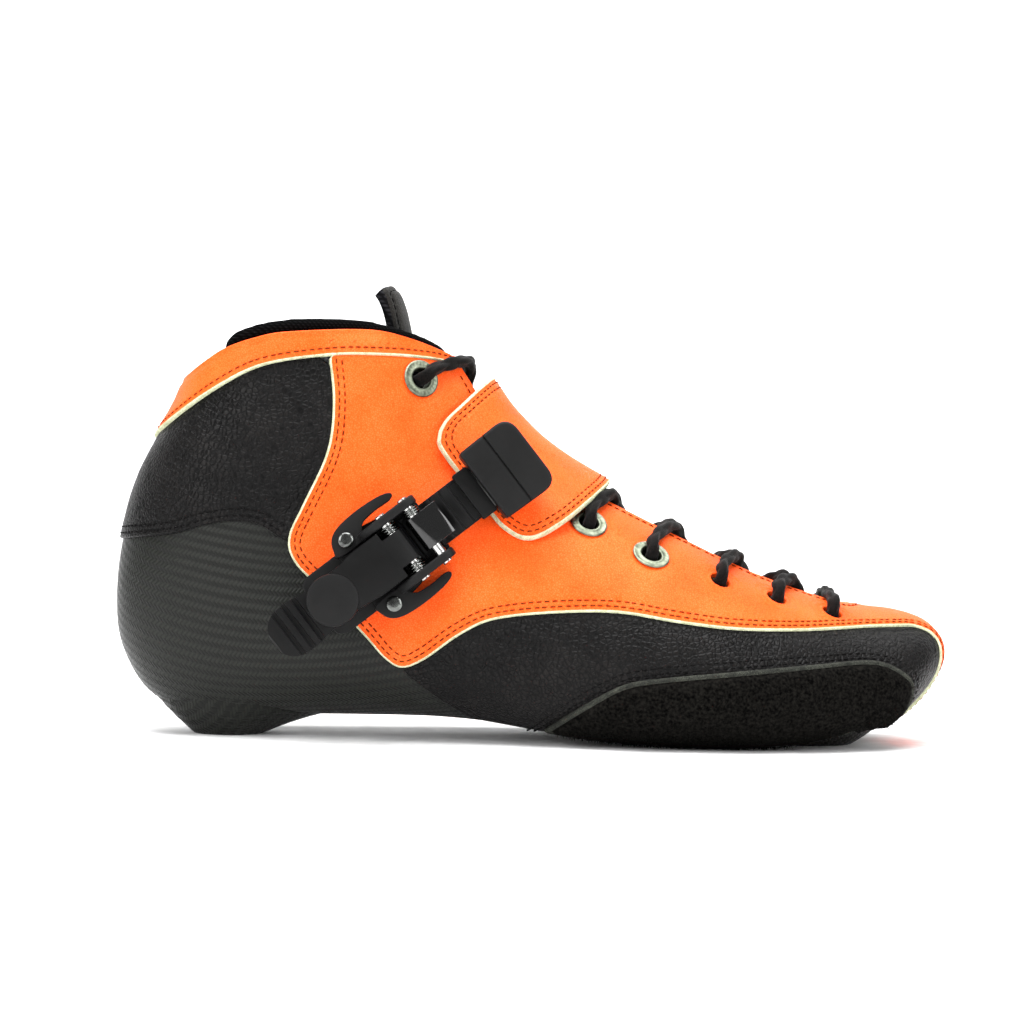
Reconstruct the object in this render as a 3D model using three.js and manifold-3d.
// Speed-skate boot, right foot, without its frame: a moulded carbon shell with a stitched upper,
// a laced throat and a ratchet strap over the instep. Millimetres, +X to the toe, +Z up and the
// outer (lateral) side towards -Y. The origin is the middle of the heel mount's bottom face.
import * as THREE from "three";
import Module from "manifold-3d";

const wasm = await Module();
wasm.setup();
const { Manifold, Mesh: SolidMesh } = wasm;

// ---- Driving dimensions ---------------------------------------------------------------------
const LEATHER = 1.2; // black leather over the carbon
const ORANGE = 1.9; // orange leather with the turned edge that stands proud of the black
const CARBON = 2.0; // wall of the carbon shell
const LINING = 2.2; // wall of the lining, under the carbon
const GAP = 0.3; // clearance between neighbouring pieces
const PILE = 2.3; // abrasion patch on the forefoot side
const COLLAR_R = 2.9; // padded lip of the collar
const TONGUE_DEPTH = 8.5; // outer face of the tongue below the upper's surface
const TONGUE = 4.2; // thickness of the tongue
const THROAT = 10; // half width of the opening under the laces
const LACE_R = 2.2;
const LACE_OVER = 5.3; // height of a lace run over the facing
const LACE_UNDER = -5.4; // and of one under it
const TAIL_R = 2.0; // loose ends of the lace, pulled a little thinner
const EYELET_R = 6.5; // metal eyelet, outside
const EYELET_BORE = 3.3;
const HOLE_R = 3.4; // plain punched hole
const METAL_ROWS = 5; // lace rows with metal eyelets, from the top
const STRAP = 2.2; // instep strap leather
const STRAP_LIFT = 9.1; // height of the strap over the laces
const STRAP_REST = 2.3; // and on the sides of the boot
const PLATE = 2.0; // buckle base plate
const LADDER_W = 16;
const LADDER_T = 2.6;
const TOOTH_PITCH = 4.0;
const TOOTH_H = 1.1;
const CHEEK_IN = 9.4; // inner face of each buckle cheek from the middle
const CHEEK_T = 3.0;
const AXLE_R = 1.8;
const RUNNING = 0.06; // radial clearance of an axle in its hole
const INSERT_R = 7; // threaded mount inserts in the sole
const FOREFOOT_X = 195; // distance between the two mounts

// Sections of the boot from the toe to above the collar. Each joins a point on the top line to
// one on the sole line: [top x, top z, sole x, sole z, lateral half width, medial half width,
// depth of the widest place, roundness above it, roundness below it, middle y].
const STATIONS = [
  [246.0, 33.0, 246.0, 33.0, 0, 0, 0.5, 2.1, 2.1, 9],
  [244.5, 37.5, 243.5, 26.0, 17, 15, 0.5, 2.1, 2.1, 9],
  [239.0, 42.5, 237.5, 17.0, 28, 27, 0.52, 2.0, 2.2, 8],
  [229.0, 45.5, 227.0, 9.0, 36, 34, 0.56, 1.9, 2.5, 7],
  [211.5, 48.0, 210.5, 4.0, 43, 41, 0.6, 1.8, 2.8, 5],
  [182.0, 57.5, 181.0, 2.3, 50, 47, 0.63, 1.8, 3.2, 1],
  [152.0, 71.0, 150.0, 2.3, 51, 48, 0.65, 1.8, 3.2, -1],
  [125.5, 84.5, 115.0, 3.2, 47, 45, 0.65, 1.8, 3.0, -1],
  [106.0, 96.0, 75.0, 7.2, 42, 41, 0.62, 1.9, 2.8, 0],
  [92.0, 108.3, 32.0, 7.5, 38.5, 38, 0.58, 2.0, 2.7, 0],
  [84.0, 118.5, -8.0, 6.5, 37, 37, 0.54, 2.1, 2.5, 0],
  [79.0, 125.8, -29.0, 12.8, 37, 37, 0.52, 2.2, 2.4, 0],
  [75.5, 130.8, -40.2, 28.5, 37.5, 37.5, 0.5, 2.2, 2.3, 0],
  [72.5, 135.0, -43.0, 46.0, 38, 38, 0.5, 2.2, 2.3, 0],
  [69.0, 139.5, -41.3, 67.0, 38, 38, 0.5, 2.2, 2.2, 0],
  [64.5, 144.0, -35.6, 88.5, 37.5, 37.5, 0.5, 2.2, 2.2, 0],
  [59.0, 148.3, -26.2, 107.5, 36.5, 36.5, 0.5, 2.2, 2.2, 0],
  [53.0, 152.6, -16.8, 126.0, 36, 36, 0.5, 2.2, 2.2, 0],
  [47.0, 157.0, -9.3, 143.0, 36, 36, 0.5, 2.2, 2.2, 0],
];
const RINGS = 22; // mesh rings from toe to top
const AROUND = 20; // mesh points around a ring

// Outlines seen from the side, x and z.
const COLLAR_EDGE = [[-17, 126], [-2.3, 134.7], [18, 139], [43, 139.6], [58, 137], [73, 131.4], [80, 128]];
const BAND_EDGE = [[-25, 103], [-5.8, 118], [10.3, 126.6], [31, 130.2], [48.7, 130.9], [66, 130],
  [80, 127]];
const REAR_EDGE = [[31.5, 133], [33.5, 115], [31.8, 98], [24, 80], [19.5, 69], [21.7, 61], [30, 52.5],
  [46, 36.5],
  [51.9, 29.2]];
const REAR_CORNER = [58.6, 25.9];
const RAND_EDGE = [[65.7, 28.8], [78.4, 37.6], [90, 42.8], [111, 45.2], [131, 45.4], [150, 42.5],
  [170, 40.2],
  [195, 39.7], [227, 40.8]];
const TOE_EDGE = [[227, 40.8], [236, 40.2], [241.5, 37], [242.5, 31], [240, 23], [233, 15], [225, 7]];
const PANEL_EDGE = [[-50, 67], [-38, 67.6], [-20, 69.6], [-9, 72.8], [1, 74.4], [9, 73.6], [19.5, 67.5]];
const SHELL_EDGE = [[-52, 78], [-20, 82], [5, 83], [26, 74], [38, 50], [58, 34], [85, 24], [120, 18],
  [180, 17],
  [225, 20], [238, 22], [250, 22]];
const PILE_EDGE = [[103, 1], [105, 5], [113, 11.4], [122, 17.1], [133, 22.7], [145, 25], [166, 27],
  [195, 29],
  [216, 30], [226, 27.6], [231.2, 23], [229, 14.5], [221, 7], [217, 1]];
const FACING_EDGE = [[46, 150], [47, 128], [54, 110], [78, 86], [104, 67], [132, 51], [162, 43],
  [192, 37.5],
  [214, 37], [219, 43], [219, 60]];
const FOOTBED_TOP = [[-50, 17], [0, 15.5], [60, 15.5], [110, 11.5], [170, 10.5], [215, 12], [250, 18]];

// Lace rows from the top eyelet to the toe, on the lateral side.
const ROWS = [[62.2, 123.6], [77.5, 105.5], [98.5, 88], [120.5, 74.4], [141.6, 63.7], [164.9, 55.6],
  [185, 50],
  [205, 45]];

// Buckle: its middle on the boot's side, and its three directions.
const BUCKLE_AT = new THREE.Vector3(64.4, -36.2, 71.2);
const LADDER_RISE = THREE.MathUtils.degToRad(38.3);
const LADDER_LEAN = THREE.MathUtils.degToRad(5);

// ---- The boot's surface ---------------------------------------------------------------------
const LAST = STATIONS.length - 1;
const FINE = 60;

function catmull(a, b, c, d, t) {
  const square = 2 * a - 5 * b + 4 * c - d;
  const cube = 3 * b - a - 3 * c + d;
  return 0.5 * (2 * b + (c - a) * t + square * t * t + cube * t ** 3);
}

function stationAt(u) {
  const i = Math.min(Math.floor(u), LAST - 1);
  return STATIONS[0].map((_, j) => {
    const b = STATIONS[i][j];
    const c = STATIONS[i + 1][j];
    const a = i > 0 ? STATIONS[i - 1][j] : 2 * b - c;
    const d = i < LAST - 1 ? STATIONS[i + 2][j] : 2 * c - b;
    return catmull(a, b, c, d, u - i);
  });
}

// Half a section from its top to its sole, with the length along it.
const sections = new Map();
function halfSection(u, side) {
  const key = `${u} ${side}`;
  if (sections.has(key)) return sections.get(key);
  const [tx, tz, sx, sz, lateral, medial, belly, nTop, nSole, middle] = stationAt(u);
  const width = side < 0 ? lateral : medial;
  const points = [];
  const lengths = [0];
  for (let k = 0; k <= FINE; k++) {
    const angle = (Math.PI * k) / FINE;
    const power = 2 / (angle < Math.PI / 2 ? nTop : nSole);
    const c = Math.abs(Math.cos(angle)) ** power;
    const s = Math.abs(Math.sin(angle)) ** power;
    const f = angle < Math.PI / 2 ? belly * (1 - c) : belly + (1 - belly) * c;
    points.push(new THREE.Vector3(tx + (sx - tx) * f, middle + side * width * s, tz + (sz - tz) * f));
    if (k > 0) lengths.push(lengths[k - 1] + points[k].distanceTo(points[k - 1]));
  }
  sections.set(key, { points, lengths });
  return sections.get(key);
}

// A point of the surface. u counts stations; w runs from 0 at the top to 1 at the sole, negative
// on the lateral side.
function surface(u, w) {
  const { points, lengths } = halfSection(u, w <= 0 ? -1 : 1);
  const want = Math.abs(w) * lengths[FINE];
  let k = 1;
  while (k < FINE && lengths[k] < want) k++;
  const span = lengths[k] - lengths[k - 1];
  return points[k - 1].clone().lerp(points[k], span > 0 ? (want - lengths[k - 1]) / span : 0);
}

function normalAt(u, w) {
  const along = surface(Math.min(u + 0.1, LAST), w).sub(surface(Math.max(u - 0.1, 0.05), w));
  const across = surface(u, Math.min(w + 0.02, 1)).sub(surface(u, Math.max(w - 0.02, -1)));
  return across.cross(along).normalize();
}

function onBoot(u, w, height) {
  return surface(u, w).addScaledVector(normalAt(u, w), height);
}

// The place (u, w) on the lateral side that is seen at x, z from the side.
function locate([x, z]) {
  let best = { far: Infinity };
  for (let u = 1; u <= LAST; u += 0.05) {
    for (let w = 0; w <= 0.7; w += 0.01) {
      const p = surface(u, -w);
      const far = Math.hypot(p.x - x, p.z - z);
      if (far < best.far) best = { far, u, w };
    }
  }
  return best;
}

// ---- Solids ---------------------------------------------------------------------------------
function solidFrom(points, triangles) {
  const vertProperties = new Float32Array(points.flatMap((p) => p.toArray()));
  const triVerts = new Uint32Array(triangles.flat());
  return new Manifold(new SolidMesh({ numProp: 3, vertProperties, triVerts }));
}

// A three.js geometry as a solid, with its doubled corners joined.
function solidOf(geometry) {
  const flat = geometry.index ? geometry.toNonIndexed() : geometry;
  const at = flat.attributes.position;
  const seen = new Map();
  const points = [];
  const corners = [];
  for (let i = 0; i < at.count; i++) {
    const p = new THREE.Vector3().fromBufferAttribute(at, i);
    const key = p.toArray().map((x) => Math.round(x * 1e4)).join();
    if (!seen.has(key)) {
      seen.set(key, points.length);
      points.push(p);
    }
    corners.push(seen.get(key));
  }
  const triangles = [];
  for (let i = 0; i < corners.length; i += 3) {
    const [a, b, c] = corners.slice(i, i + 3);
    if (a !== b && b !== c && c !== a) triangles.push([a, b, c]);
  }
  return solidFrom(points, triangles);
}

// The whole boot as one solid, its surface moved out by height: a number, or a function of u, w.
function bootSolid(height) {
  const rise = typeof height === "number" ? () => height : height;
  const tip = surface(0, 0);
  tip.x += rise(0, 0);
  const points = [tip];
  for (let i = 1; i <= RINGS; i++) {
    const u = (LAST * i) / RINGS;
    for (let j = 0; j < AROUND; j++) {
      const w = j <= AROUND / 2 ? -(2 * j) / AROUND : 2 - (2 * j) / AROUND;
      points.push(onBoot(u, w, rise(u, w)));
    }
  }
  const top = points.length;
  points.push(surface(LAST, 0).add(surface(LAST, 1)).multiplyScalar(0.5));
  const triangles = [];
  for (let j = 0; j < AROUND; j++) {
    const next = (j + 1) % AROUND;
    triangles.push([0, 1 + j, 1 + next]);
    for (let i = 0; i < RINGS - 1; i++) {
      const a = 1 + i * AROUND;
      const b = a + AROUND;
      triangles.push([a + j, b + j, a + next], [a + next, b + j, b + next]);
    }
    const last = 1 + (RINGS - 1) * AROUND;
    triangles.push([top, last + next, last + j]);
  }
  return solidFrom(points, triangles);
}

// A smooth line through a few points, with the same number of steps in each stretch.
function smooth(points, steps = 2) {
  const spline = new THREE.SplineCurve(points.map(([x, z]) => new THREE.Vector2(x, z)));
  return spline.getPoints((points.length - 1) * steps).map((p) => [p.x, p.y]);
}

function extruded(points, depth, bevel = 0) {
  const shape = new THREE.Shape(points.map(([x, y]) => new THREE.Vector2(x, y)));
  const options = { depth: depth - 2 * bevel, bevelEnabled: bevel > 0, bevelSegments: 1, curveSegments: 6,
    bevelThickness: bevel, bevelSize: bevel, bevelOffset: -bevel };
  const geometry = new THREE.ExtrudeGeometry(shape, options);
  return geometry.translate(0, 0, bevel);
}

// A cutter with a side-view outline, from y = near to y = far.
function sideCutter(points, near = -80, far = 80) {
  const area = THREE.ShapeUtils.area(points.map(([x, z]) => new THREE.Vector2(x, z)));
  const turned = area > 0 ? points : [...points].reverse();
  return solidOf(extruded(turned, far - near).rotateX(Math.PI / 2).translate(0, far, 0));
}

function box(low, high) {
  const size = low.map((x, k) => high[k] - x);
  const middle = low.map((x, k) => (high[k] + x) / 2);
  return solidOf(new THREE.BoxGeometry(...size).translate(...middle));
}

function cylinder(from, to, radius, sides = 20) {
  const length = from.distanceTo(to);
  const geometry = new THREE.CylinderGeometry(radius, radius, length, sides);
  const along = to.clone().sub(from).normalize();
  const turn = new THREE.Quaternion().setFromUnitVectors(new THREE.Vector3(0, 1, 0), along);
  geometry.applyQuaternion(turn).translate(...from.clone().lerp(to, 0.5).toArray());
  return solidOf(geometry);
}

function circle(radius, sides) {
  return new THREE.Shape(new THREE.EllipseCurve(0, 0, radius, radius).getPoints(sides).slice(0, sides));
}

function tube(points, radius, sides, steps) {
  const path = new THREE.CatmullRomCurve3(points, false, "centripetal");
  return new THREE.ExtrudeGeometry(circle(radius, sides), { steps, extrudePath: path });
}

// ---- The finished group ---------------------------------------------------------------------
const boot = new THREE.Group();
boot.name = "speed_skate_boot";

const FINISH = {
  carbon: { color: 0x2e302c, roughness: 0.35, metalness: 0.1 },
  orange: { color: 0xff6a1e, roughness: 0.6, metalness: 0 },
  black: { color: 0x1c1b1c, roughness: 0.6, metalness: 0 },
  knit: { color: 0x121213, roughness: 0.95, metalness: 0 },
  pile: { color: 0x0b0b0c, roughness: 1, metalness: 0 },
  lining: { color: 0x2b2b2e, roughness: 0.9, metalness: 0 },
  foam: { color: 0x3a3a3d, roughness: 0.95, metalness: 0 },
  plastic: { color: 0x1a1a1b, roughness: 0.45, metalness: 0 },
  steel: { color: 0xa8aaa8, roughness: 0.3, metalness: 1 },
  pewter: { color: 0x8f9288, roughness: 0.35, metalness: 1 },
  lace: { color: 0x101010, roughness: 0.9, metalness: 0 },
};

function add(name, shape, finish) {
  let geometry = shape;
  if (shape instanceof Manifold) {
    const mesh = shape.setTolerance(0.05).getMesh();
    geometry = new THREE.BufferGeometry();
    geometry.setAttribute("position", new THREE.BufferAttribute(mesh.vertProperties, 3));
    geometry.setIndex(new THREE.BufferAttribute(mesh.triVerts, 1));
    geometry = geometry.toNonIndexed();
    geometry.computeVertexNormals();
  }
  const mesh = new THREE.Mesh(geometry, new THREE.MeshStandardMaterial(FINISH[finish]));
  mesh.name = name;
  boot.add(mesh);
}

// The largest connected body of a cut.
function mainBody(solid) {
  const bodies = solid.decompose();
  return bodies.reduce((a, b) => (b.volume() > a.volume() ? b : a));
}

// ---- Layers and regions ---------------------------------------------------------------------
const layer = (outer, inner) => bootSolid(outer).subtract(bootSolid(inner));
const skinOrange = layer(ORANGE, 0.1);
const skinBlack = layer(LEATHER, 0.1);
const innerSkin = layer(-0.1, -CARBON);
const liningSkin = layer(-CARBON - GAP, -CARBON - GAP - LINING);

const shifted = (points, dx, dz) => points.map(([x, z]) => [x + dx, z + dz]);
const reversed = (points) => [...points].reverse();
const rear = smooth(REAR_EDGE);
const band = [[-80, 92], [-34, 96], ...smooth(BAND_EDGE)];
const rand = smooth(RAND_EDGE);
const toe = smooth(TOE_EDGE);
const facing = smooth(FACING_EDGE);

const aboveCollar = (drop) =>
  sideCutter([[-80, 126], ...shifted(smooth(COLLAR_EDGE), 0, -drop), [100, 126], [100, 220], [-80, 220]]);
const aboveBand = aboveCollar(0.3);
const aboveLayers = aboveCollar(1.2);
const facingZone = sideCutter([...facing, [240, 220], [46, 220]]);
const facingWide = facing.map(([x, z]) => [x + Math.sign(x - 215) * GAP, z - GAP]);
const facingZoneWide = sideCutter([...facingWide, [240, 220], [46 - GAP, 220]]);
const underShell = sideCutter([...smooth(SHELL_EDGE), [260, -30], [-80, -30]]);
const overShell = sideCutter([...shifted(smooth(SHELL_EDGE), 0, GAP), [260, 220], [-80, 220]]);
const lateralSide = box([-90, -90, -30], [280, -GAP / 2, 220]);
const medialSide = box([-90, GAP / 2, -30], [280, 90, 220]);

// The throat's opening seen from above: two straight sides and a round toe end.
const THROAT_END = 212;
const throatShape = new THREE.Shape();
throatShape.moveTo(30, -THROAT);
throatShape.lineTo(178, -THROAT);
throatShape.lineTo(THROAT_END - THROAT + 1, 5 - THROAT);
throatShape.absarc(THROAT_END - THROAT + 1, 5, THROAT, -Math.PI / 2, Math.PI / 2, false);
throatShape.lineTo(178, THROAT);
throatShape.lineTo(30, THROAT);
const throatDepth = { depth: 150, bevelEnabled: false, curveSegments: 6 };
const throatBar = new THREE.ExtrudeGeometry(throatShape, throatDepth).translate(0, 0, 30);
const throat = solidOf(throatBar).intersect(facingZone);

// The padded lip runs round the top edge, from one side of the throat to the other.
const LIP_EDGE = [[66.5, 136.2], [57, 139.2], [43, 142.2], [18, 141.8], [-2.3, 138.4], [-12.2, 132.8]];
const lipPlaces = LIP_EDGE.map(locate);
const LIP_DEPTH = -2.4;
const lipBack = onBoot(17.3, 1, LIP_DEPTH);
const lipPath = [
  ...lipPlaces.map(({ u, w }) => onBoot(u, -w, LIP_DEPTH)),
  lipBack,
  ...reversed(lipPlaces).map(({ u, w }) => onBoot(u, w, LIP_DEPTH)),
];
const lipRoom = solidOf(tube(lipPath, COLLAR_R + 0.2, 8, 32));

// Lace rows on the surface, and a place given by its arc length from the top line.
const holes = ROWS.map((row) => {
  const { u, w } = locate(row);
  return { u, arc: w * halfSection(u, -1).lengths[FINE] };
});

function atArc(u, arc, height) {
  const side = arc < 0 ? -1 : 1;
  return onBoot(u, arc / halfSection(u, side).lengths[FINE], height);
}

function holeCutter(row, side, radius) {
  const { u, arc } = holes[row];
  return cylinder(atArc(u, side * arc, -8), atArc(u, side * arc, 8), radius, 8);
}

// Seats pressed into both faces of the leather by the eyelet flanges.
const seats = Manifold.union(holes.slice(0, METAL_ROWS).flatMap(({ u, arc }) =>
  [-1, 1].flatMap((side) => [
    cylinder(atArc(u, side * arc, 2.05), atArc(u, side * arc, 8), EYELET_R + 0.3, 9),
    cylinder(atArc(u, side * arc, -8), atArc(u, side * arc, -0.75), 5.6, 8),
  ]),
));

const holesThrough = (metalRadius) =>
  Manifold.union(ROWS.flatMap((_, row) =>
    [-1, 1].map((side) => holeCutter(row, side, row < METAL_ROWS ? metalRadius : HOLE_R)),
  ));

// ---- Carbon shell and its mounts ------------------------------------------------------------
// A mounting boss: a round foot that flares up into the shell, narrower across the boot.
function boss(x, profile, squeeze) {
  const points = profile.map(([r, z]) => new THREE.Vector2(r, z));
  const geometry = new THREE.LatheGeometry(points, 20).rotateX(Math.PI / 2).scale(1, squeeze, 1);
  return solidOf(geometry.translate(x, 0, 0));
}

const HEEL_BOSS = [[0, 0], [11, 0], [13, 0.8], [17, 3.2], [21, 6.5], [26, 10.5], [26, 17], [0, 17]];
const FOREFOOT_BOSS = [[0, 0], [21, 0], [24, 0.8], [28, 3.4], [33, 8], [33, 13], [0, 13]];
const HEEL_INSERT = 6; // heights of the two inserts
const FOREFOOT_INSERT = 3.4;

function insertAt(x, height, grow) {
  const low = grow > 0 ? -1 : 0;
  return cylinder(new THREE.Vector3(x, 0, low), new THREE.Vector3(x, 0, height + grow), INSERT_R + grow, 24);
}

const bosses = boss(0, HEEL_BOSS, 0.82).add(boss(FOREFOOT_X, FOREFOOT_BOSS, 0.78));
const bossRoom = boss(FOREFOOT_X, FOREFOOT_BOSS.map(([r, z]) => [r > 0 ? r + GAP : 0, z]), 0.78);
const lasted = bootSolid(0).add(bosses);
const pockets = insertAt(0, HEEL_INSERT, 0.05).add(insertAt(FOREFOOT_X, FOREFOOT_INSERT, 0.05));
const shell = lasted.subtract(bootSolid(-CARBON)).intersect(underShell).subtract(pockets);
add("carbon_shell", mainBody(shell), "carbon");
add("heel_insert", insertAt(0, HEEL_INSERT, 0), "steel");
add("forefoot_insert", insertAt(FOREFOOT_X, FOREFOOT_INSERT, 0), "steel");

// ---- Inner layers ---------------------------------------------------------------------------
const reinforcement = innerSkin.intersect(overShell).subtract(aboveLayers).subtract(facingZoneWide)
  .subtract(lipRoom);
add("upper_reinforcement", mainBody(reinforcement), "foam");
const stays = innerSkin.intersect(facingZone).subtract(aboveLayers).subtract(throat)
  .subtract(holesThrough(5.9)).subtract(lipRoom);
add("eyelet_stay_lateral", mainBody(stays.intersect(box([0, -90, 0], [280, 4.8, 220]))), "foam");
add("eyelet_stay_medial", mainBody(stays.intersect(box([0, 5.2, 0], [280, 90, 220]))), "foam");
const lining = liningSkin.subtract(aboveLayers).subtract(lipRoom).subtract(facingZoneWide);
add("lining_lateral", mainBody(lining.intersect(lateralSide)), "lining");
add("lining_medial", mainBody(lining.intersect(medialSide)), "lining");
const inside = bootSolid(-CARBON - LINING - 2 * GAP);
const underFoot = sideCutter([...smooth(FOOTBED_TOP), [250, -20], [-50, -20]]);
add("footbed", mainBody(inside.intersect(underFoot)), "foam");

// ---- Outer panels ---------------------------------------------------------------------------
const anklePanel = sideCutter([
  ...smooth(PANEL_EDGE),
  ...shifted(rear, -GAP, 0).filter(([, z]) => z > 68 && z < 129).reverse(),
  ...shifted(reversed(band.filter(([x]) => x < 30)), 0, -GAP),
]);
add("ankle_panel", mainBody(skinBlack.intersect(anklePanel)), "black");

const bandZone = sideCutter([...band, [100, 126], [100, 220], [-80, 220]]);
const bandSkin = skinOrange.intersect(bandZone).subtract(aboveBand).subtract(lipRoom).subtract(throat);
add("collar_band", mainBody(bandSkin), "orange");

const vampZone = sideCutter([
  ...rear.filter(([, z]) => z < 129.5),
  REAR_CORNER,
  ...rand,
  ...toe.slice(1),
  [225, -20],
  [280, -20],
  [280, 220],
  [90, 220],
  [90, 126.5],
  ...shifted(reversed(band.filter(([x]) => x > 32)), 0, -GAP),
]);
const vampSkin = skinOrange.intersect(vampZone).subtract(throat).subtract(holesThrough(4.5)).subtract(seats)
  .subtract(bossRoom);
add("vamp_quarters", mainBody(vampSkin), "orange");

const randZone = sideCutter([
  [REAR_CORNER[0], REAR_CORNER[1] - GAP],
  ...shifted(rand, 0, -GAP),
  ...shifted(toe.slice(1), -GAP, 0),
  [225 - GAP, -20],
  [104, -20],
  [90, 4],
  [83.3, 8.6],
  [70.3, 16.5],
]);
const soleMiddle = box([40, -24, -20], [230, 24, 14]);
const randSkin = skinBlack.intersect(randZone).subtract(soleMiddle).subtract(bossRoom);
const pileSkin = layer(LEATHER + GAP + PILE, LEATHER + GAP)
  .intersect(sideCutter([...smooth(PILE_EDGE)]))
  .subtract(box([40, -30, -20], [250, 30, 8]))
  .subtract(box([40, -90, -20], [250, 90, 0.3]))
  .subtract(bossRoom);
for (const [side, half] of [["lateral", lateralSide], ["medial", medialSide]]) {
  add(`toe_rand_${side}`, mainBody(randSkin.intersect(half)), "black");
  add(`abrasion_patch_${side}`, mainBody(pileSkin.intersect(half)), "pile");
}

// ---- Collar lip and tongue ------------------------------------------------------------------
add("collar_lip", tube(lipPath, COLLAR_R, 8, 32), "knit");

// The tongue lies under the laces and comes up to the surface above the collar.
const TONGUE_OUTLINE = [[214, 70], [212, 36], [190, 36], [150, 46], [115, 60], [86, 82], [66, 104],
  [52, 124],
  [45, 142], [43, 150], [56, 157], [64, 156], [80, 150], [130, 110]];
const TONGUE_HALF = 18;
function tongueDepth(u) {
  const t = THREE.MathUtils.smoothstep(u, 15.4, 17.4);
  return -THREE.MathUtils.lerp(TONGUE_DEPTH, 2.2, t);
}
const tongueSkin = bootSolid(tongueDepth).subtract(bootSolid((u) => tongueDepth(u) - TONGUE));
const tongueBox = box([30, -TONGUE_HALF, 30], [280, TONGUE_HALF, 200]);
add("tongue", mainBody(tongueSkin.intersect(sideCutter(TONGUE_OUTLINE)).intersect(tongueBox)), "black");

// ---- Eyelets and lace -----------------------------------------------------------------------
const EYELET_PROFILE = [[EYELET_BORE, -1.3], [5.2, -1.3], [5.2, -0.8], [3.9, -0.8], [3.9, 2.1],
  [EYELET_R, 2.1], [6.0, 2.5], [EYELET_BORE, 2.5], [EYELET_BORE, -1.3]];
for (let row = 0; row < METAL_ROWS; row++) {
  for (const [name, side] of [["lateral", -1], ["medial", 1]]) {
    const { u, arc } = holes[row];
    const geometry = new THREE.LatheGeometry(EYELET_PROFILE.map(([r, z]) => new THREE.Vector2(r, z)), 10);
    const centre = atArc(u, side * arc, 0);
    const out = atArc(u, side * arc, 1).sub(centre);
    geometry.applyQuaternion(new THREE.Quaternion().setFromUnitVectors(new THREE.Vector3(0, 1, 0), out));
    add(`eyelet_${name}_${row + 1}`, solidOf(geometry.translate(...centre.toArray())), "pewter");
  }
}

// Down through a hole from the outside, then back under the facing.
const HOLE_TURN = [[-5, LACE_OVER], [-1.6, 4.9], [0.3, 2.6], [0.5, 0], [0.3, -2.6], [-1.6, -5.2],
  [-5, LACE_UNDER]];
function throughHole(row, side, turn = HOLE_TURN) {
  const { u, arc } = holes[row];
  return turn.map(([inward, height]) => atArc(u, side * (arc + inward), height));
}

// From under one facing, across the tongue and over the other facing one row up.
function crossing(row, side, over) {
  const from = holes[row].u;
  const to = holes[row - 1].u;
  const at = (t) => THREE.MathUtils.lerp(from, to, t);
  return [
    atArc(at(0.15), side * (THROAT + 1), LACE_UNDER),
    atArc(at(0.45), 0, over ? -0.3 : LACE_UNDER),
    atArc(at(0.7), -side * (THROAT - 1), 5),
  ];
}

function climb(side) {
  const points = [];
  let at = side;
  for (let row = ROWS.length - 1; row > 0; row--) {
    points.push(...throughHole(row, at), ...crossing(row, at, at * (row % 2 ? 1 : -1) > 0));
    at = -at;
  }
  return [...points, ...throughHole(0, at, HOLE_TURN.slice(0, 5))];
}

const frontBar = [-8, 0, 8].map((arc) => atArc(holes[ROWS.length - 1].u, arc, LACE_OVER - 1.2));
const lacePath = [...reversed(climb(-1)), ...frontBar, ...climb(1)];
add("lace", tube(lacePath, LACE_R, 6, 166), "lace");

// The loose ends drop inside the boot and lie forward on the footbed.
const AGLET = 20;
const WALL_ROUTE = [[55, 110], [53, 104], [50, 90], [46, 72], [41, 54], [37, 38]].map(locate);
const WALL_DEPTH = -8;
const FLOOR_ROUTE = [[39, 23.6, 26], [47, 22, 20.6], [60, 21.6, 18.8], [80, 22, 18], [105, 21, 15.4],
  [130, 20, 14],
  [150, 18, 13.4]];
for (const [name, side] of [["lateral", -1], ["medial", 1]]) {
  const route = [
    ...throughHole(0, side, [[0.9, -3.9], [3.4, -7.2]]),
    ...WALL_ROUTE.map(({ u, w }) => onBoot(u, side * w, WALL_DEPTH)),
    ...FLOOR_ROUTE.map(([x, y, z]) => new THREE.Vector3(x, side * y, z)),
  ];
  add(`lace_end_${name}`, tube(route, TAIL_R, 8, 26), "lace");
  const from = route.at(-1);
  const along = from.clone().sub(route.at(-2)).normalize();
  const to = from.clone().addScaledVector(along, AGLET);
  add(`aglet_${name}`, cylinder(from.clone().addScaledVector(along, 0.3), to, TAIL_R, 10), "plastic");
}

// ---- Instep strap ---------------------------------------------------------------------------
// It lies on the sides of the boot and rises over the laces.
function strapHeight(u, w) {
  const arc = Math.abs(w) * halfSection(u, w <= 0 ? -1 : 1).lengths[FINE];
  return THREE.MathUtils.lerp(STRAP_LIFT, STRAP_REST, THREE.MathUtils.smoothstep(arc, 34, 48));
}
const STRAP_LATERAL = [[98, 137], [78.5, 116.8], [72, 110], [69.8, 104.5], [71.4, 98.6], [87.6, 78.6],
  [92, 74],
  [98, 70.6], [104, 71.2], [112, 76], [119.5, 82], [138, 98]];
const STRAP_MEDIAL = [[98, 137], [76, 112], [52, 72], [49, 62], [52, 54], [60, 49], [69, 51], [96, 68],
  [138, 98]];
const strapZone = sideCutter(STRAP_LATERAL, -90, 0.01).add(sideCutter(STRAP_MEDIAL, 0, 90));
const strapSkin = bootSolid((u, w) => strapHeight(u, w) + STRAP).subtract(bootSolid(strapHeight));
add("instep_strap", mainBody(strapSkin.intersect(strapZone)), "orange");

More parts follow.
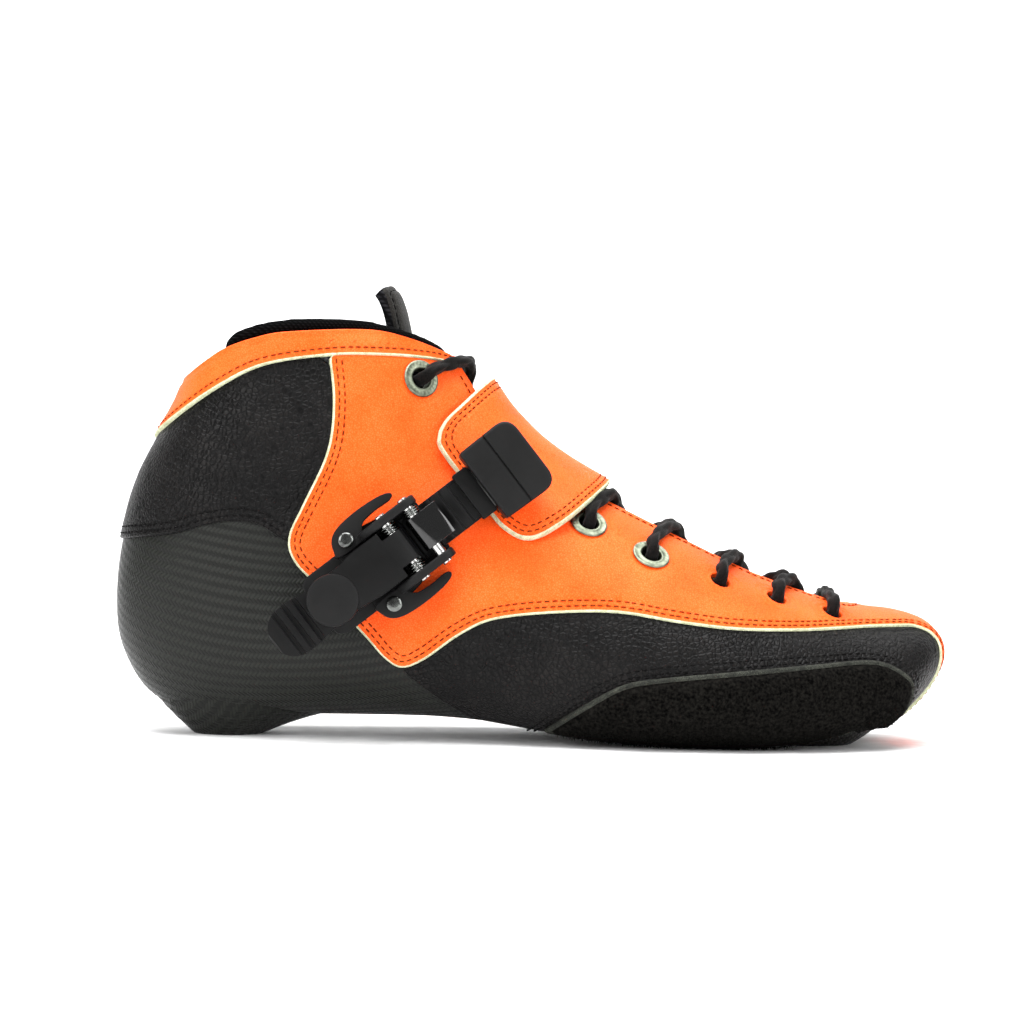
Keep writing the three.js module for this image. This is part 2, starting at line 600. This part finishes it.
// ---- Ratchet buckle -------------------------------------------------------------------------
// Its own frame: a along the ladder towards the strap, c across it up and back, n away from the
// boot. Shapes are drawn in a, n (walls and levers) or in a, c (plates).
const alongLadder = new THREE.Vector3(Math.cos(LADDER_RISE) * Math.cos(LADDER_LEAN), Math.sin(LADDER_LEAN),
  Math.sin(LADDER_RISE) * Math.cos(LADDER_LEAN));
const across = new THREE.Vector3(-Math.sin(LADDER_RISE), 0, Math.cos(LADDER_RISE));
const outward = alongLadder.clone().cross(across).normalize();
const buckleFrame = new THREE.Matrix4().makeBasis(alongLadder, across, outward).setPosition(BUCKLE_AT);
const placed = (geometry) => solidOf(geometry.applyMatrix4(buckleFrame));
const spot = (a, c, n) => new THREE.Vector3(a, c, n).applyMatrix4(buckleFrame);

const plate = (points, n0, n1, bevel = 0) => placed(extruded(points, n1 - n0, bevel).translate(0, 0, n0));
const wall = (points, c0, c1, bevel = 0) =>
  placed(extruded(points, c1 - c0, bevel).rotateX(Math.PI / 2).translate(0, c1, 0));
const crossPin = (a, n, radius, c0, c1, sides = 20) =>
  cylinder(spot(a, c0, n), spot(a, c1, n), radius, sides);
const rectangle = (x0, x1, y0, y1) => [[x0, y0], [x1, y0], [x1, y1], [x0, y1]];

const PLATE_N = 4.3;
const LADDER_N = 7.4;
const TOOTH_TOP = LADDER_N + LADDER_T + TOOTH_H;
const LEVER_AXLE = [-8.5, 15.2];
const LOCK_AXLE = [0.6, 15.2];
const DRIVE_AXLE = [-15.5, 15.4];
const SMALL_R = 1.2;
const HUB_HALF = 5.6; // half width of the lever round its axle, between the two springs
const CHEEK_OUT = CHEEK_IN + CHEEK_T;

// Cushion under the base, shaped to the boot.
const PAD = [[-41, -9], [0, -9], [2, -7], [2, 7], [0, 9], [-41, 9]];
add("buckle_pad", mainBody(plate(PAD, -8, PLATE_N - 0.1).subtract(bootSolid(ORANGE + 0.1))), "plastic");

function buckleBase() {
  const footShape = [[-43, -9], [-40, -11.6], [2, -11.6], [4.6, -9], [4.6, 9], [2, 11.6], [-40, 11.6],
    [-43, 9]];
  const foot = plate(footShape, PLATE_N, PLATE_N + PLATE);
  const cheek = [[-20, PLATE_N + 0.5], [4.6, PLATE_N + 0.5], [4.6, 14.5], [3.4, 18], [0.5, 19], [-10, 19],
    [-14, 17.6], [-20, 9]];
  let base = foot;
  for (const side of [-1, 1]) {
    const [c0, c1] = side > 0 ? [CHEEK_IN, CHEEK_OUT] : [-CHEEK_OUT, -CHEEK_IN];
    base = base.add(wall(cheek, c0, c1, 0.5));
    const guard = [[-26, 10], [-24.5, 16.2], [-21, 18.6], [-4, 18.6], [-1, 17], [-1, 14.8], [-13, 14.6],
      [-16, 12],
      [-16, 10]].map(([a, c]) => [a, side * c]);
    base = base.add(plate(side > 0 ? reversed(guard) : guard, PLATE_N + 1.2, PLATE_N + 7.5, 0.6));
  }
  for (const [a, n] of [LEVER_AXLE, LOCK_AXLE]) {
    base = base.subtract(crossPin(a, n, AXLE_R + RUNNING, -20, 20));
  }
  for (const c of [-13.2, 13.2]) base = base.subtract(cylinder(spot(-22, c, 0), spot(-22, c, 20), 1.95, 12));
  return base;
}
add("buckle_base", buckleBase(), "plastic");
for (const [name, c] of [["lower", -13.2], ["upper", 13.2]]) {
  const shank = cylinder(spot(-22, c, 5.2), spot(-22, c, 12), 1.8, 12);
  const head = cylinder(spot(-22, c, 11.9), spot(-22, c, 13), 2.6, 12);
  add(`base_rivet_${name}`, shank.add(head), "steel");
}

function ladderStrap() {
  const first = -38;
  const last = 32.5;
  const low = rectangle(first, last, -LADDER_W / 2, LADDER_W / 2);
  let ladder = plate(low, LADDER_N, LADDER_N + LADDER_T, 0.3);
  for (let a = first + 3; a < 17; a += TOOTH_PITCH) {
    const tooth = [[a, LADDER_N + LADDER_T - 0.2], [a + TOOTH_PITCH - 1, LADDER_N + LADDER_T - 0.2],
      [a + TOOTH_PITCH - 1, TOOTH_TOP], [a + 1.6, TOOTH_TOP]];
    ladder = ladder.add(wall(tooth, -LADDER_W / 2 + 0.6, LADDER_W / 2 - 0.6));
  }
  const sleeve = rectangle(19, 24.4, -LADDER_W / 2 - 1, LADDER_W / 2 + 1);
  ladder = ladder.add(plate(sleeve, LADDER_N - 0.6, TOOTH_TOP + 0.6, 0.5));
  return ladder.subtract(cylinder(spot(29.5, 0, 0), spot(29.5, 0, 20), 1.55, 16));
}
add("ladder_strap", ladderStrap(), "plastic");

function endBlock() {
  const corner = 6;
  const shape = new THREE.Shape();
  shape.moveTo(25, -13);
  shape.lineTo(46 - corner, -14);
  shape.quadraticCurveTo(46, -14, 46, -14 + corner);
  shape.lineTo(46, 14 - corner);
  shape.quadraticCurveTo(46, 14, 46 - corner, 14);
  shape.lineTo(25, 13);
  const outline = shape.getPoints(4).map((p) => [p.x, p.y]);
  const body = plate(outline, 4.6, 14.8, 1.2);
  const pocket = plate(rectangle(24, 33.2, -LADDER_W / 2 - 0.3, LADDER_W / 2 + 0.3), LADDER_N - 0.3,
    LADDER_N + LADDER_T + 0.3);
  const groove = wall(rectangle(34.6, 35.6, 13.7, 16), -20, 20);
  const rivetHole = cylinder(spot(29.5, 0, 5), spot(29.5, 0, 13), 1.55, 16);
  return body.subtract(pocket).subtract(groove).subtract(rivetHole);
}
add("strap_end_block", endBlock(), "plastic");
add("ladder_rivet", cylinder(spot(29.5, 0, 5.2), spot(29.5, 0, 12.8), 1.5, 16), "steel");

function lever() {
  const [axleA, axleN] = LEVER_AXLE;
  const arm = [[axleA + 3, 13], [axleA + 3.3, axleN], [axleA + 1.5, axleN + 3.3], [-14, 19.2], [-30, 18.4],
    [-44, 16.4], [-61, 15.6], [-61.4, 13.6], [-44, 12.2], [-12, 11.9]];
  let body = wall(arm, -8.9, 8.9, 0.6);
  const disc = cylinder(spot(-37.6, 0, 12.4), spot(-37.6, 0, 18.9), 8.7, 32);
  body = body.add(disc);
  const outline = [[0, -8.9], [0, 8.9], [-24, 8.9], [-30, 7.6], [-44, 7.8], [-50, 8.9], [-58, 8.4],
    [-61.6, 4.5],
    [-61.6, -4.5], [-58, -8.4], [-50, -8.9], [-44, -7.8], [-30, -7.6], [-24, -8.9]];
  body = body.intersect(plate(outline, 5, 25).add(disc));
  for (const a of [-56, -51.6, -47.2]) {
    body = body.subtract(wall([[a, 15.1], [a + 1.2, 15.1], [a + 1.5, 17], [a - 0.3, 17]], -7.2, 7.2));
  }
  body = body.subtract(wall([[-22, 10], [-10.8, 10], [-11.8, 18.1], [-21, 18.1]], -4.4, 4.4));
  for (const side of [-1, 1]) {
    const [c0, c1] = side > 0 ? [HUB_HALF, 10] : [-10, -HUB_HALF];
    body = body.subtract(wall(rectangle(axleA - 4.5, axleA + 6, 8, 24), c0, c1));
  }
  body = body.subtract(crossPin(axleA, axleN, AXLE_R + RUNNING, -20, 20));
  return body.subtract(crossPin(...DRIVE_AXLE, SMALL_R + RUNNING, -20, 20));
}
add("ratchet_lever", mainBody(lever()), "plastic");
add("lever_axle", crossPin(...LEVER_AXLE, AXLE_R, -CHEEK_OUT - 0.8, CHEEK_OUT + 0.8), "steel");
add("lock_axle", crossPin(...LOCK_AXLE, AXLE_R, -CHEEK_OUT - 0.8, CHEEK_OUT + 0.8), "steel");
add("drive_pawl_pin", crossPin(...DRIVE_AXLE, SMALL_R, -8.4, 8.4), "steel");

// A pawl: a round hub with a nose that drops between two teeth of the ladder.
function pawl([a, n], hub, nose, half, bore) {
  const body = crossPin(a, n, hub, -half, half).add(wall(nose, -half, half));
  return body.subtract(crossPin(a, n, bore + RUNNING, -20, 20));
}
const driveNose = [[-17.7, 15], [-16.4, 11.6], [-14.6, 11.4], [-13.3, 15]];
add("drive_pawl", pawl(DRIVE_AXLE, 2.4, driveNose, 2, SMALL_R), "plastic");
const lockNose = [[-2.3, 15.2], [-2.9, 11.5], [-1.2, 11.4], [3.2, 13.6], [8.4, 15.6], [8.6, 17.2],
  [2.6, 18.1]];
add("lock_pawl", pawl(LOCK_AXLE, 3, lockNose, 6, AXLE_R), "plastic");

// A torsion spring: a close coil round an axle, from c0 to c1.
function coil([a, n], radius, wire, turns, c0, c1) {
  const steps = turns * 8;
  const points = Array.from({ length: steps + 1 }, (_, k) => {
    const angle = (2 * Math.PI * k) / 8;
    const c = THREE.MathUtils.lerp(c0, c1, k / steps);
    return spot(a + radius * Math.cos(angle), c, n + radius * Math.sin(angle));
  });
  return tube(points, wire, 4, steps);
}
for (const [name, c] of [["lower", -9], ["upper", 6]]) {
  add(`lever_spring_${name}`, coil(LEVER_AXLE, 2.5, 0.4, 3, c, c + 3), "steel");
}
add("lock_spring", coil(LOCK_AXLE, 2.4, 0.35, 3, 6.6, 9), "steel");
add("drive_spring", coil(DRIVE_AXLE, 1.75, 0.3, 2, 2.5, 4), "steel");

export default boot;
